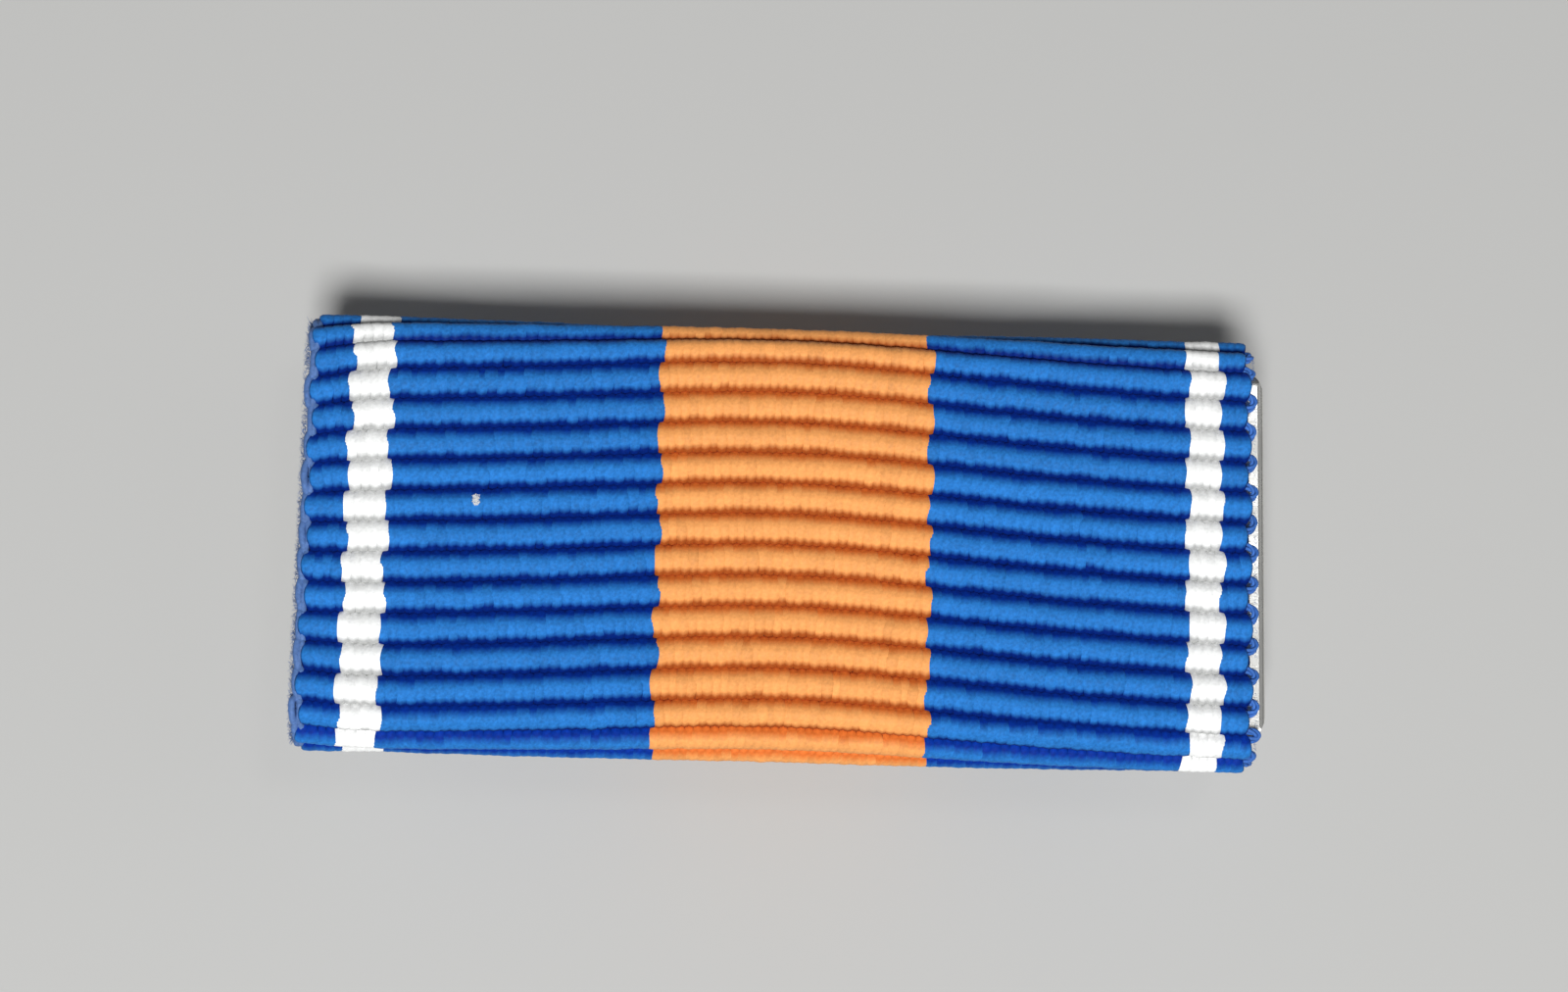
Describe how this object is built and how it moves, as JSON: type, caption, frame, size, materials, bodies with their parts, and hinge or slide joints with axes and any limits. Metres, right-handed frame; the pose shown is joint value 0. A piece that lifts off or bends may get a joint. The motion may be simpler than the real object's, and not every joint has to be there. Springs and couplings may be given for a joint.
{
  "type": "ribbon bar",
  "caption": "Small medal ribbon bar: a corded ribbon in blue, white and orange stripes wound round a metal bar, with a fixed brooch pin on the back.",
  "frame": {"origin": "on the surface that the bar lies on, below the middle of its outline", "axes": "+X along the bar to the right as seen from the front, +Y across the bar to its upper edge, +Z out of the front face"},
  "size_m": [0.0274, 0.0125, 0.0051],
  "materials": {
    "bar_metal": "satin nickel plate, slightly warm",
    "pin_metal": "nickel plate, plain",
    "ribbon_blue": "corded weave, royal blue",
    "ribbon_white": "corded weave, white",
    "ribbon_orange": "corded weave, orange",
    "ribbon_weft": "weft cord and selvedge loops, blue",
    "catch_thread": "knitted catch thread of the left selvedge, pale blue"
  },
  "bodies": {
    "root": {"base_bar": "bar_metal", "ribbon": "ribbon_blue", "pin_back": "pin_metal"}
  },
  "joints": []
}
